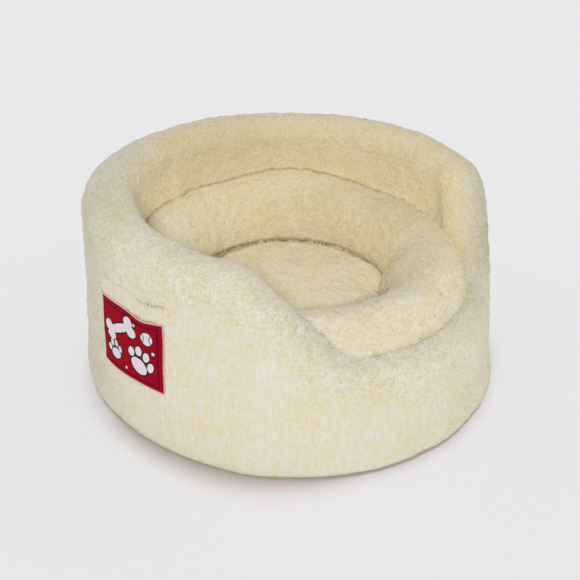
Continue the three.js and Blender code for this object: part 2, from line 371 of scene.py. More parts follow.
def lumps(points, table, seed):
    """Uneven filling: smooth noise of a few widths, at each point."""
    flat = points.reshape(-1, 3)
    total = np.zeros(len(flat))
    for i, lump in enumerate(table):
        shift = Vector((seed * 17.3 + i * 5.1, seed * 3.7, i * 11.9))  # another place in the same noise
        total += lump["size"] * np.array([noise.noise(Vector(p) / lump["width"] + shift) for p in flat])
    return total.reshape(points.shape[:-1])


def grid_mesh(name, points, closed=True, around=True, attributes=None):
    """A smooth mesh in metres from a grid of points, closed along the section and around where it is so."""
    index = np.arange(points.shape[0] * points.shape[1]).reshape(points.shape[:2])
    rows = index if closed else index[:-1]
    next_rows = np.roll(index, -1, 0)[: len(rows)]
    last = None if around else -1
    corners = [rows, np.roll(rows, -1, 1), np.roll(next_rows, -1, 1), next_rows]
    faces = np.stack([c[:, :last] for c in corners], -1).reshape(-1, 4)
    mesh = bpy.data.meshes.new(name)
    mesh.from_pydata((points.reshape(-1, 3) * MM).tolist(), [], faces.tolist())
    for key, values in (attributes or {}).items():
        vector = values.ndim == 3
        layer = mesh.attributes.new(key, "FLOAT_VECTOR" if vector else "FLOAT", "POINT")
        layer.data.foreach_set("vector" if vector else "value", np.float32(values).ravel())
    mesh.shade_smooth()
    return mesh


# Sherpa fleece: knitted polyester with a short curled pile. The eye sees matt tufts a few millimetres wide,
# pale at their tips, and a warmer yellow between them, with a faint sheen where the pile turns away. The
# cover's points carry painted warm light, painted light and shade, and painted shade in its creases.
# The warm-lit colours are the tips and roots in painted warm light, as light bounced off the yellow pile
# gives them.
FLEECE_TIP = "D6D3CE"
FLEECE_TIP_WARM_LIT = "DFD3BD"
FLEECE_ROOT = "D5CA9C"
FLEECE_ROOT_WARM_LIT = "DCC98F"
FLEECE_SHADE = "A88460"  # painted shade: a brown laid into the creases
FLEECE_NOISE = {"patches": 26, "curls": 210, "streaks": 260}  # in a metre: 38, 5 and 4 mm wide
STREAK_STRETCH = (1, 1, 0.25)  # combed pile is streaked upright, four times as long as wide
YELLOW = {"pattern": 2.2, "lock": 0.8, "low": 1.2, "high": 2.9}  # weights of its causes, and their range
CURL_SHADE = {"curly": -0.08, "combed": -0.01}  # painted shade between the tufts: how much darker the yellow roots are than the tips

sherpa_fleece, tree, shader = new_material("sherpa_fleece")
tone, warm, shade, painted_light, wild = (
    add(tree, "ShaderNodeAttribute", attribute_name=name).outputs["Fac"]
    for name in ("tone", "warm", "shade", "painted_light", "wild")
)
place = add(tree, "ShaderNodeTexCoord").outputs["Object"]
upright = add(tree, "ShaderNodeMapping", place, Scale=STREAK_STRETCH)
patches, curls, streaks = (
    add(tree, "ShaderNodeTexNoise", where, Scale=FLEECE_NOISE[name], Detail=1)
    for name, where in (("patches", place), ("curls", place), ("streaks", upright))
)
figure = add(tree, "ShaderNodeMix", wild, streaks, curls, data_type="FLOAT")
yellow = add(tree, "ShaderNodeMath", figure, YELLOW["pattern"], patches, operation="MULTIPLY_ADD")
yellow = add(tree, "ShaderNodeMath", tone, YELLOW["lock"], yellow, operation="MULTIPLY_ADD")
yellow = add(tree, "ShaderNodeMapRange", yellow, From_Min=YELLOW["low"], From_Max=YELLOW["high"])
# Painted warm light: the cover's warm attribute mixes in the warm-lit colours.
tips, roots = (
    add(tree, "ShaderNodeMix", warm, linear(cool), linear(warmer), data_type="RGBA")
    for cool, warmer in ((FLEECE_TIP, FLEECE_TIP_WARM_LIT), (FLEECE_ROOT, FLEECE_ROOT_WARM_LIT))
)
colour = add(tree, "ShaderNodeMix", yellow, tips, roots, data_type="RGBA")
# Painted shade in the creases.
colour = add(
    tree, "ShaderNodeMix", shade, colour, linear(FLEECE_SHADE), data_type="RGBA", blend_type="MULTIPLY",
)
# Painted light and shade: the cover's lighter and darker places, and painted shade between the tufts where
# the pile is yellower.
relief = add(tree, "ShaderNodeMath", wild, CURL_SHADE["curly"], CURL_SHADE["combed"], operation="MULTIPLY_ADD")
from_mean = add(tree, "ShaderNodeMath", yellow, 0.5, operation="SUBTRACT")
lit = add(tree, "ShaderNodeMath", relief, from_mean, painted_light, operation="MULTIPLY_ADD")
colour = add(tree, "ShaderNodeVectorMath", colour, lit, operation="SCALE")
fill(
    shader, Base_Color=colour, Roughness=0.95, Specular_IOR_Level=0.15,
    Sheen_Weight=0.1, Sheen_Roughness=0.6,
)

# Knitted ground of the fleece: a thin matt jersey, seen only as a warm yellow between the tufts.
GROUND_COLOURS = ("D2C396", "D9CCA4")
KNIT = {"noise": 900, "relief": 0.6}  # in a metre: loops of 1.1 mm, and their depth in millimetres

fleece_ground, tree, shader = new_material("fleece_ground")
place = add(tree, "ShaderNodeTexCoord").outputs["Object"]
knit = add(tree, "ShaderNodeTexNoise", place, Scale=KNIT["noise"], Detail=1)
colour = add(tree, "ShaderNodeMix", knit, *map(linear, GROUND_COLOURS), data_type="RGBA")
bump = add(tree, "ShaderNodeBump", Height=knit, Distance=KNIT["relief"] * MM, Strength=0.6)
fill(shader, Base_Color=colour, Normal=bump, Roughness=1, Specular_IOR_Level=0.1)

# Woven floor cloth: plain polyester canvas, matt, with 0.5 mm threads, drawn 1 mm wide so that they show.
CANVAS_COLOURS = ("8F8A7C", "B9B4A6")  # between the threads and on them
CANVAS = {"waves": 160, "relief": 0.3}  # a wave of this scale is a thread and a gap, 2 mm in all

woven_canvas, tree, shader = new_material("woven_canvas")
place = add(tree, "ShaderNodeTexCoord").outputs["Object"]
threads = [
    add(
        tree, "ShaderNodeTexWave", place,
        bands_direction=direction, Scale=CANVAS["waves"], Distortion=0.6, Detail=1,
    ).outputs["Fac"]
    for direction in ("X", "Y")
]
weave = add(tree, "ShaderNodeMath", *threads, operation="MAXIMUM")
colour = add(tree, "ShaderNodeMix", weave, *map(linear, CANVAS_COLOURS), data_type="RGBA")
bump = add(tree, "ShaderNodeBump", Height=weave, Distance=CANVAS["relief"] * MM, Strength=0.5)
fill(shader, Base_Color=colour, Normal=bump, Roughness=0.85)

# Locks of pile: flat curled tufts that stand for the hairs, which are too fine to model one by one.
LOCK_SIZES = {"Spacing": 1.5, "Length": 9.0, "Width": 3.5}
LOCK_FORM = {
    "Density": 600000,  # at most, in a square metre
    "Lift": 0.03,  # slope off the cover
    "Bend": 0.8,  # how far its middle stands out, in thicknesses
    "Flatness": 0.26,  # thickness as a share of width
    "Roundness": 1.3,  # how much its own form shows in the light
}
CURLED = {"astray": 1.5, "wider": 0.3, "shorter": 0.42}  # what full curl does to a lock
STANDING = {"steeper": 0.35, "thicker": 1.5}  # what a crease does to it
LOCK_SPREAD = (0.75, 1.25)  # of length and width, from lock to lock
LIFT_SPREAD = (0.5, 1.2)
COMBED_ROUNDNESS = 0.25  # of the roundness of curly pile
LOWEST = 0.3  # a lock's lowest point over the floor


def new_tree(name, inputs, output):
    """A tree of geometry nodes with inputs by name and kind, and the outputs of its input node."""
    tree = bpy.data.node_groups.new(name, "GeometryNodeTree")
    for key, kind in inputs.items():
        tree.interface.new_socket(key, in_out="INPUT", socket_type=f"NodeSocket{kind}")
    tree.interface.new_socket(output, in_out="OUTPUT", socket_type="NodeSocketGeometry")
    return tree, add(tree, "NodeGroupInput").outputs


def pile_tree():
    """Locks on a cover, whose points say how dense, curly and steep they are, and which way they lie."""
    sizes = dict.fromkeys([*LOCK_SIZES, *LOCK_FORM], "Float")
    inputs = {"Cover": "Geometry", "Seed": "Int", "Material": "Material"} | sizes
    tree, given = new_tree("fleece_pile", inputs, "Pile")
    pile, wild, stand = (
        add(tree, "GeometryNodeInputNamedAttribute", data_type="FLOAT", Name=name)
        for name in ("pile", "wild", "stand")
    )
    comb = add(tree, "GeometryNodeInputNamedAttribute", data_type="FLOAT_VECTOR", Name="comb")
    any_lift = add(tree, "FunctionNodeRandomValue", *LIFT_SPREAD, Seed=4)
    any_width = add(tree, "FunctionNodeRandomValue", *LOCK_SPREAD, Seed=5)
    any_length = add(tree, "FunctionNodeRandomValue", *LOCK_SPREAD, Seed=6)
    any_tone = add(tree, "FunctionNodeRandomValue", 0.0, 1.0, Seed=7)
    any_way = add(
        tree, "FunctionNodeRandomValue", (-1, -1, -1), (1, 1, 1), data_type="FLOAT_VECTOR", Seed=3,
    )

    # Roots, spread evenly over the cover.
    scatter = add(
        tree, "GeometryNodeDistributePointsOnFaces", given["Cover"], distribute_method="POISSON",
        Distance_Min=given["Spacing"], Density_Max=given["Density"], Density_Factor=pile,
        Seed=given["Seed"],
    )
    normal = scatter.outputs["Normal"]
    roots = add(tree, "GeometryNodeStoreNamedAttribute", scatter, Name="tone", Value=any_tone)
    roots = add(
        tree, "GeometryNodeStoreNamedAttribute", roots,
        data_type="FLOAT_VECTOR", Name="cover_normal", Value=normal,
    )

    # The way of each lock: as combed, astray where it is curly, and lifted off the cover.
    rise = add(tree, "ShaderNodeVectorMath", any_way, normal, operation="PROJECT")
    astray = add(tree, "ShaderNodeVectorMath", any_way, rise, operation="SUBTRACT")
    share = add(tree, "ShaderNodeMath", wild, CURLED["astray"], operation="MULTIPLY")
    astray = add(tree, "ShaderNodeVectorMath", astray, share, operation="SCALE")
    along = add(tree, "ShaderNodeVectorMath", astray, comb, operation="ADD")
    lift = add(tree, "ShaderNodeMath", stand, STANDING["steeper"], given["Lift"], operation="MULTIPLY_ADD")
    lift = add(tree, "ShaderNodeMath", lift, any_lift, operation="MULTIPLY")
    lifted = add(tree, "ShaderNodeVectorMath", normal, lift, operation="SCALE")
    along = add(tree, "ShaderNodeVectorMath", along, lifted, operation="ADD")
    along = add(tree, "ShaderNodeVectorMath", along, operation="NORMALIZE")
    turn = add(tree, "FunctionNodeAxesToRotation", along, normal, primary_axis="Z", secondary_axis="X")

    # Its size, and its form: a sphere of few faces, bent and flattened.
    fat = add(tree, "ShaderNodeMath", wild, CURLED["wider"], 1.0, operation="MULTIPLY_ADD")
    width = add(tree, "ShaderNodeMath", given["Width"], fat, operation="MULTIPLY")
    width = add(tree, "ShaderNodeMath", width, any_width, operation="MULTIPLY")
    short = add(tree, "ShaderNodeMath", wild, -CURLED["shorter"], 1.0, operation="MULTIPLY_ADD")
    length = add(tree, "ShaderNodeMath", given["Length"], short, operation="MULTIPLY")
    length = add(tree, "ShaderNodeMath", length, any_length, operation="MULTIPLY")
    thick = add(tree, "ShaderNodeMath", stand, STANDING["thicker"], 1.0, operation="MULTIPLY_ADD")
    thickness = add(tree, "ShaderNodeMath", width, given["Flatness"], operation="MULTIPLY")
    thickness = add(tree, "ShaderNodeMath", thickness, thick, operation="MULTIPLY")
    size = add(tree, "ShaderNodeCombineXYZ", thickness, width, length)
    sphere = add(tree, "GeometryNodeMeshUVSphere", Segments=3, Rings=2, Radius=0.5)
    position = add(tree, "GeometryNodeInputPosition")
    up = add(tree, "ShaderNodeSeparateXYZ", position).outputs["Z"]
    arch = add(tree, "ShaderNodeMath", up, up, operation="MULTIPLY")
    arch = add(tree, "ShaderNodeMath", arch, -4.0, 1.0, operation="MULTIPLY_ADD")
    bend = add(tree, "ShaderNodeMath", arch, given["Bend"], operation="MULTIPLY")
    lock = add(
        tree, "GeometryNodeSetPosition", sphere, Offset=add(tree, "ShaderNodeCombineXYZ", bend),
    )
    locks = add(tree, "GeometryNodeInstanceOnPoints", roots, Instance=lock, Rotation=turn, Scale=size)
    locks = add(tree, "GeometryNodeRealizeInstances", locks)

    # No lock goes into the floor.
    spot = add(tree, "ShaderNodeSeparateXYZ", position).outputs
    height = add(tree, "ShaderNodeMath", spot["Z"], LOWEST * MM, operation="MAXIMUM")
    on_floor = add(tree, "ShaderNodeCombineXYZ", spot["X"], spot["Y"], height)
    locks = add(tree, "GeometryNodeSetPosition", locks, Position=on_floor)
    locks = add(tree, "GeometryNodeSetShadeSmooth", locks)

    # The light falls on it nearly as on the cover, because hairs scatter it: its normals are softened.
    own = add(tree, "GeometryNodeInputNormal")
    cover = add(tree, "GeometryNodeInputNamedAttribute", data_type="FLOAT_VECTOR", Name="cover_normal")
    outward = add(tree, "ShaderNodeVectorMath", own, cover, operation="PROJECT")
    sidelong = add(tree, "ShaderNodeVectorMath", own, outward, operation="SUBTRACT")
    roundness = add(
        tree, "ShaderNodeMath", wild, 1 - COMBED_ROUNDNESS, COMBED_ROUNDNESS, operation="MULTIPLY_ADD",
    )
    roundness = add(tree, "ShaderNodeMath", given["Roundness"], roundness, operation="MULTIPLY")
    sidelong = add(tree, "ShaderNodeVectorMath", sidelong, roundness, operation="SCALE")
    soft = add(tree, "ShaderNodeVectorMath", cover, sidelong, operation="ADD")
    soft = add(tree, "ShaderNodeVectorMath", soft, operation="NORMALIZE")
    locks = add(tree, "GeometryNodeSetMeshNormal", locks, mode="FREE", domain="POINT", Custom_Normal=soft)
    locks = add(tree, "GeometryNodeSetMaterial", locks, Material=given["Material"])
    add(tree, "NodeGroupOutput", locks)
    return tree


fleece_pile = pile_tree()


def make_plain(piece, tree, inputs):
    """Turns a piece into the plain mesh that a tree makes of its own."""
    modifier = piece.modifiers.new(tree.name, "NODES")
    modifier.node_group = tree
    for socket in tree.interface.items_tree:
        if socket.name in inputs:
            modifier[socket.identifier] = inputs[socket.name]
    made = bpy.data.meshes.new_from_object(piece.evaluated_get(bpy.context.evaluated_depsgraph_get()))
    piece.modifiers.clear()
    piece.data = made


def grow_pile(name, cover_mesh, seed):
    """The pile of one cover, as a piece of its own."""
    piece = put_in_scene(name, cover_mesh)
    sizes = {key: size * MM for key, size in LOCK_SIZES.items()}
    make_plain(piece, fleece_pile, {"Seed": seed, "Material": sherpa_fleece} | sizes | LOCK_FORM)
    piece.visible_shadow = False  # real hairs are finer than these locks and let the light through
    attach(piece, "root")


def grow_around(name, points, fields, sectors, seed):
    """The pile of a ring, in sectors that are pieces of their own."""
    around = points.shape[1]
    for sector in range(sectors):
        start, end = (around // sectors * edge for edge in (sector, sector + 1))
        strip = np.arange(start, end + 1) % around
        own = {key: values[:, strip] for key, values in fields.items()}
        own_name = f"{name}_{sector + 1}"
        own_mesh = grid_mesh(own_name, points[:, strip], around=False, attributes=own)
        grow_pile(own_name, own_mesh, seed + sector)


# The wall's cover and its pile, which lies down the wall on both faces. It is combed flat on the left of
# the entrance and curls elsewhere.
PILE_DEPTH = 1.1  # the cover lies this far under the tips of its pile
WALL_LUMPS = [{"size": 1.5, "width": 58}, {"size": 0.6, "width": 18}]
CURLS = [{"size": 1.7, "width": 10}]  # tufts of curly pile
SHAGGY = {"angle": -45, "spread": 35, "size": 1, "depth": (60, 15)}  # deeper tufts, down from the rim
WALL_SWIRL = [{"size": 1.2, "width": 40}]  # radians by which the comb wanders
WALL_CURL = {"outside": 0.95, "inside": 0.8}
COMBED_FLAT = {"curl": 0.75, "from": (-118, -84), "to": (18, -22), "depth": (18, 75)}
WALL_PLEAT = {"angle": -175, "spread": 5, "size": 3, "height": 55}  # a soft upright fold inside
CREASE_BAND = 7  # the pile is pressed up to this far from the crease
WALL_PRESSED = 1.6
# Painted shade along the crease with the bolster, and the height it reaches.
CREASE_SHADE = {"share": 0.45, "height": 4}
WALL_SECTORS = 4
POCKET = {"angle": -95, "width": 122, "low": 68, "high": 187.5, "turn": 0}
POCKET_OVERLAP = {"seam": 5, "mouth": 4}  # the wall has no pile under the pocket, but for its edges
# Painted warm light: the pile is tinted warmer inside the nest, at the back of the rim and on the right,
# for light bounced off the yellow pile.
RIGHT_SIDE = {"angle": 90, "full": 55, "none": 105}  # a touch warmer
RIGHT_WARMTH = 0.1
COOL_INSIDE = {"angle": -115, "spread": 50, "size": 0.7}  # less of the inside's warmth
BACK_RIM = {"angle": 115, "full": 60, "none": 100}  # the warmth starts further out here
WARM_TO = {"back": (-0.9, 1.1), "front": (-1.3, -0.2)}  # it fades out here, across the rim

# Painted light and shade: lighter and darker places in the pile's colour, as shares of its brightness, by
# angle.
# `between` says at which depth or height one sets in, and at which it is full.
INNER_LIGHT = [  # painted light where light scatters in the nest, and a little painted shade; by depth under the rim
    {"angle": -138, "spread": 46, "size": 0.22, "between": (0, 60)},
    {"angle": 66, "spread": 18, "size": 0.12, "between": (5, 40)},
    {"angle": 155, "spread": 50, "size": -0.06},
]
# Painted shade on the back of the rim.
RIM_SHADE = {"angle": 145, "full": 50, "none": 120, "size": 0.1, "depth": (90, 5), "height": (170, 230)}
FACE_SHADE = [  # painted shade where the outer face turns away from the key light, by height
    {"angle": -120, "spread": 28, "size": 0.13},
    {"angle": 45, "spread": 50, "size": 0.06},
    {"angle": 38, "spread": 38, "size": 0.13, "between": (90, 160)},
]
# Painted shade, darker towards the foot.
FOOT_SHADE = {"size": 0.03, "height": (90, 15)}
FACE_SETS_IN = (-0.6, 1)  # across the rim
# Painted shade on the right shoulder of the entrance, by height.
SHOULDER_SHADE = [{"angle": 32, "spread": 34, "size": 0.12, "between": (90, 140)}]


def tint(table, angle, level):
    """Sum of painted light and shade around the bed, at each level over its height."""
    total = 0 * level
    for spot in table:
        share = smoothstep(level, *spot["between"]) if "between" in spot else 1
        total = total + swell(spot, angle) * share
    return total


angles, radius, height, stretch = around_bed(WALL_STEPS, wall_row, WALL_AROUND)
points = in_place(radius, height, angles)
sideways, along, outward = directions(points)
is_fleece = np.isin(stretch, ["foot", "face", "rim", "inside"])[:, None] & (height > 0)
inside = radius < rim_radius(angles) - HALF_ROUND
from_rim = wall_top(angles) - height
from_crease = height - crease_height(angles)
across_rim = (radius - rim_radius(angles) + HALF_ROUND) / HALF_ROUND  # -1 on the inner face, 1 on the outer
from_pocket = np.radians(np.abs(away_from(POCKET["angle"], angles))) * MEAN_RADIUS
off_pocket = (
    (from_pocket > POCKET["width"] / 2 - POCKET_OVERLAP["seam"])
    | (height < POCKET["low"] + POCKET_OVERLAP["seam"])
    | (height > POCKET["high"] - POCKET_OVERLAP["mouth"])
)
under_bolster = inside & (from_crease < -CREASE_BAND)

away = away_from(0, angles)
left_front = smoothstep(away, *COMBED_FLAT["from"]) * smoothstep(away, *COMBED_FLAT["to"])
combed = COMBED_FLAT["curl"] * left_front * smoothstep(from_rim, *COMBED_FLAT["depth"])
wild = np.where(inside, WALL_CURL["inside"], WALL_CURL["outside"] - combed)
shaggy = 1 + swell(SHAGGY, angles) * smoothstep(from_rim, *SHAGGY["depth"])
pleat = swell(WALL_PLEAT, angles) * inside * smoothstep(from_crease, WALL_PLEAT["height"], 0)
pressed = WALL_PRESSED * inside * smoothstep(np.abs(from_crease), CREASE_BAND, 0)
depth = PILE_DEPTH + lumps(points, WALL_LUMPS, 1) + wild * shaggy * lumps(points, CURLS, 4)
depth = depth - pleat - pressed
points = points - outward * (is_fleece * depth)[..., None]
turn = np.clip(across_rim, -1, 1)[..., None] * math.pi / 2 + lumps(points, WALL_SWIRL, 7)[..., None]

at_back = side(BACK_RIM, angles)
full, none = (
    back * at_back + front * (1 - at_back) for back, front in zip(WARM_TO["back"], WARM_TO["front"])
)
# Painted warm light inside the nest, fading out across the rim.
warm_inside = smoothstep(across_rim, none, full) * (1 - swell(COOL_INSIDE, angles))
# Painted shade along the crease, on the back of the rim, towards the foot and where the faces turn from the
# key light.
crease_shade = CREASE_SHADE["share"] * inside * smoothstep(from_crease, CREASE_SHADE["height"], 0)
rim_shade = RIM_SHADE["size"] * side(RIM_SHADE, angles) * smoothstep(from_rim, *RIM_SHADE["depth"])
rim_shade = rim_shade * smoothstep(wall_top(angles), *RIM_SHADE["height"])
foot_shade = FOOT_SHADE["size"] * smoothstep(height, *FOOT_SHADE["height"])
face_shade = (tint(FACE_SHADE, angles, height) + foot_shade) * smoothstep(across_rim, *FACE_SETS_IN)
face_shade = face_shade + tint(SHOULDER_SHADE, angles, height)
fields = {
    "pile": (is_fleece & ~under_bolster & off_pocket).astype(float),
    "wild": wild,
    "comb": sideways * np.cos(turn) - along * np.sin(turn),
    "warm": np.maximum(warm_inside, RIGHT_WARMTH * side(RIGHT_SIDE, angles)),
    "stand": inside * smoothstep(from_crease, CREASE_BAND, 1),
    "shade": crease_shade * side(SHADED_CREASE, angles),
    "painted_light": 1 + inside * tint(INNER_LIGHT, angles, from_rim) - rim_shade - face_shade,
}

wall = put_in_scene("wall_cover", grid_mesh("wall_cover", points), fleece_ground, woven_canvas)
underside = np.repeat(np.isin(stretch, ["under", "hidden"]), WALL_AROUND)
wall.data.polygons.foreach_set("material_index", underside.astype(np.int32))
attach(wall, "root")
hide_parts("wall")
grow_around("wall_pile", points, fields, WALL_SECTORS, seed=1)


# Floor cloth
# A flat disc of plain canvas over a thin pad closes the bottom of the bed, inside the foot of the wall.
# It is sewn to the wall's cover all round, and carries the cushions.
BASE_THICKNESS = 18
BASE_ROUND = 6
GAP = 0.5  # between neighbouring pieces
BASE_STEPS = {"below": 6, "side": 3, "corner": 4, "above": 6}
BASE_AROUND = 120
POLE_MERGE = 0.3  # points closer than this are one


def base_row(stretch, share, angle):
    """Radius and height all around the floor cloth, at a share of one stretch of its section."""
    edge = wall_inner(angle, 0 * angle, GAP)
    side_height = BASE_THICKNESS - BASE_ROUND
    turn = share * math.pi / 2
    if stretch == "below":
        return edge * share, 0
    if stretch == "side":
        return edge, side_height * share
    if stretch == "corner":
        return edge - BASE_ROUND * (1 - math.cos(turn)), side_height + BASE_ROUND * math.sin(turn)
    return (edge - BASE_ROUND) * (1 - share), BASE_THICKNESS


def pole_rows(points):
    """Gathers the first row of a round grid in its own middle, and adds the middle of the last row."""
    first, last = (np.broadcast_to(row.mean(0), row.shape) for row in (points[0], points[-1]))
    return np.stack([first, *points[1:], last])


def merge_points(mesh, distance):
    """Makes one point of those that lie closer together than a distance."""
    shape = bmesh.new()
    shape.from_mesh(mesh)
    bmesh.ops.remove_doubles(shape, verts=shape.verts, dist=distance * MM)
    shape.to_mesh(mesh)
    shape.free()


angles, radius, height, stretch = around_bed(BASE_STEPS, base_row, BASE_AROUND)
base_mesh = grid_mesh("floor_cloth", pole_rows(in_place(radius, height, angles)), closed=False)
merge_points(base_mesh, POLE_MERGE)
base = put_in_scene("floor_cloth", base_mesh, woven_canvas)
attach(base, "root")
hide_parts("base")


# Bolster ring
# A fat ring of loose filling in a fleece cover lies inside the wall, and is pressed against it and over the
# lip. The cover is gathered where it meets the wall and the centre pad, and folds across on the right.
BOLSTER_FOOT_ROUND = 13
BOLSTER_FOLD = {"crest_angle": 67, "pad_angle": 80, "spread": 6, "share": 0.012}
PAD_RADIUS = 129.4
PAD_SHIFT = -2.3
PAD_DENT = {"angle": 30, "spread": 28, "size": 15}  # the bolster bulges over the pad here
BOLSTER_AROUND = 300
BOLSTER_STEPS = {"upright": 5, "roll": 4, "crest": 42, "under": 6, "below": 3}
BOLSTER_LUMPS = [{"size": 2.2, "width": 46}, {"size": 0.8, "width": 17}]
BOLSTER_SWIRL = [{"size": 1.6, "width": 45}]
BOLSTER_CURL = 0.85
BOLSTER_BARE = 92  # its pile ends at this height, behind the pad
BOLSTER_PRESSED = {"size": 2.2, "rows": 5}  # along the crease, over the first rows of its round top
BOLSTER_ON_PAD = {"angle": 30, "spread": 50, "size": 1.6, "height": 98, "reach": (14, 4)}
# Painted warm light on the bolster, little on its left.
BOLSTER_COOL = {"angle": -70, "full": 60, "none": 140}
BOLSTER_WARM = {"left": 0.25, "right": 0.85}
# Painted shade along the crease with the pad.
PAD_CREASE_SHADE = {"share": 0.9, "height": (98, 93)}
BOLSTER_LIGHT = [  # painted light and shade, by height
    {"angle": 52, "spread": 14, "size": 0.08, "between": (180, 150)},
    {"angle": -128, "spread": 48, "size": 0.2, "between": (180, 150)},
    {"angle": 118, "spread": 45, "size": -0.07, "between": (180, 150)},
    {"angle": 72, "spread": 60, "size": -0.1, "between": (135, 165)},
]
BOLSTER_SECTORS = 2


def pad_radius(angle):
    return PAD_RADIUS + PAD_SHIFT * np.sin(angle) - swell(PAD_DENT, angle)


def fold_share(angle, inward):
    """How much the fold across shrinks the bolster. `inward` is 0 at its crest and 1 at the pad."""
    middle = np.interp(inward, [0, 1], [BOLSTER_FOLD["crest_angle"], BOLSTER_FOLD["pad_angle"]])
    sets_in = smoothstep(inward, -1, 0)
    return BOLSTER_FOLD["share"] * sets_in * bump_at(middle, BOLSTER_FOLD["spread"], angle)


def bolster_row(stretch, share, angle):
    """Radius and height all around the bolster, at a share of one stretch of its section."""
    crest = bolster_crest(angle)
    inward = crest - pad_radius(angle) - GAP
    low = BASE_THICKNESS + GAP
    rise = bolster_top(angle) - BOLSTER_WAIST
    crease = crease_height(angle)
    rim_start = wall_top(angle) - HALF_ROUND
    upright_end = np.minimum(crease, rim_start)
    if stretch == "upright":
        height = (low + BOLSTER_FOOT_ROUND) * (1 - share) + upright_end * share
        return wall_inner(angle, height, BOLSTER_CLEAR), height
    if stretch == "roll":
        size = HALF_ROUND + BOLSTER_CLEAR
        last = np.arcsin(np.clip((crease - rim_start) / size, 0, 1))
        height = upright_end + size * np.sin(last * share)
        return wall_inner(angle, height, BOLSTER_CLEAR), height
    if stretch == "crest":
        start = np.arcsin((crease - BOLSTER_WAIST) / rise)
        turn = start + (math.pi - start) * share
        width = np.where(np.cos(turn) > 0, BOLSTER_REACH, inward)
        size = 1 - fold_share(angle, -np.cos(turn)) * (share > 0)
        return crest + size * width * np.cos(turn), BOLSTER_WAIST + size * rise * np.sin(turn)
    if stretch == "under":
        turn = share * math.pi / 2
        height = BOLSTER_WAIST - (BOLSTER_WAIST - low) * math.sqrt(math.sin(turn))
        return crest - inward * math.sqrt(math.cos(turn)), height
    end = wall_inner(angle, 0 * angle, BOLSTER_CLEAR) - BOLSTER_FOOT_ROUND
    return crest + (end - crest) * share, low


angles, radius, height, stretch = around_bed(BOLSTER_STEPS, bolster_row, BOLSTER_AROUND)
points = in_place(radius, height, angles)
sideways, along, outward = directions(points)
is_top = (stretch == "crest")[:, None]
shows = is_top & (height > BOLSTER_BARE)
row_of_top = np.cumsum(is_top)[:, None] - 1
pressed = smoothstep(row_of_top, BOLSTER_PRESSED["rows"], 0)
on_pad = swell(BOLSTER_ON_PAD, angles)
on_pad = on_pad * smoothstep(np.abs(height - BOLSTER_ON_PAD["height"]), *BOLSTER_ON_PAD["reach"])
depth = PILE_DEPTH + lumps(points, BOLSTER_LUMPS, 2) + lumps(points, CURLS, 5)
depth = depth - BOLSTER_PRESSED["size"] * pressed - on_pad
points = points - outward * (shows * depth)[..., None]
swirl = lumps(points, BOLSTER_SWIRL, 8)[..., None]
at_crease = shows * smoothstep(row_of_top, 3, 1)
# Painted warm light, and painted shade along its creases with the wall and the pad.
warmth = BOLSTER_WARM["right"] + (BOLSTER_WARM["left"] - BOLSTER_WARM["right"]) * side(BOLSTER_COOL, angles)
painted_wall_crease = CREASE_SHADE["share"] * at_crease
painted_pad_crease = PAD_CREASE_SHADE["share"] * smoothstep(height, *PAD_CREASE_SHADE["height"])
fields = {
    "pile": shows.astype(float),
    "wild": BOLSTER_CURL + 0 * height,
    "comb": along * np.cos(swirl) * (1 - 2 * at_crease)[..., None] + sideways * np.sin(swirl),
    "warm": warmth + 0 * height,
    "stand": at_crease,
    "shade": side(SHADED_CREASE, angles) * (painted_wall_crease + painted_pad_crease),
    # Painted light where the pile is pressed along the crease, and painted light and shade by angle.
    "painted_light": 1 + 0.05 * pressed + tint(BOLSTER_LIGHT, angles, height),
}

bolster = put_in_scene("bolster_cover", grid_mesh("bolster_cover", points), fleece_ground)
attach(bolster, "root")
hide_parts("bolster_ring")
grow_around("bolster_pile", points, fields, BOLSTER_SECTORS, seed=11)


# Centre pad
# A round fleece cushion lies in the bolster ring and is crowned by its filling.
# Its cover is sewn to the ring's all round, so that its edge is drawn down into a deep crease.
PAD_EDGE = 96
PAD_CROWN = 13
PAD_LOW_CORNER = [(14, 0), (4, 8), (0, 28)]  # inset from the side and height above the lowest face
PAD_CORNER = [(0, 16), (2.5, 5), (4.5, 2.2), (7, 0)]  # inset from the side and depth below the edge
PAD_SQUARE = {"angle": 40, "spread": 60, "size": 0.65}  # the bolster presses its corner square here
PAD_AROUND = 216
PAD_STEPS = {"below": 4, "corner": 3, "side": 4, "crown": 34}
POLE_START = 0.001  # the first row's share of the radius, before it is gathered in its middle
PAD_LUMPS = [{"size": 1.6, "width": 44}, {"size": 0.7, "width": 16}]
PAD_SWIRL = [{"size": 3.0, "width": 55}]
PAD_CURL = 0.85
# Painted warm light and painted light on the pad.
PAD_WARMTH = 0.6
PAD_LIGHT = 1.06
PAD_GATHERS = {"least": 2, "most": 7, "reach": (16, 5)}  # how far its edge is drawn down
PUCKERS = [{"size": 0.9, "width": 11}]  # their noise, about its middle
PAD_FAR_SIDE = {"angle": 118, "full": 50, "none": 95}  # and where
PAD_LIFT = {"angle": 55, "spread": 30, "size": 4, "reach": (45, 5)}  # the filling pushes its edge up here
PAD_PRESS = {"angle": 22, "spread": 42, "size": 3.5}  # and it is pressed under the bolster here
PAD_UPPER = 75  # what lies above this height moves with the edge
PAD_DRAWN_IN = 0.3  # as a share of how far it is drawn down


def corner_at(corner, share):
    """The two measures of a corner, at a share of the way along its points."""
    return (np.interp(share * (len(corner) - 1), range(len(corner)), measures) for measures in zip(*corner))


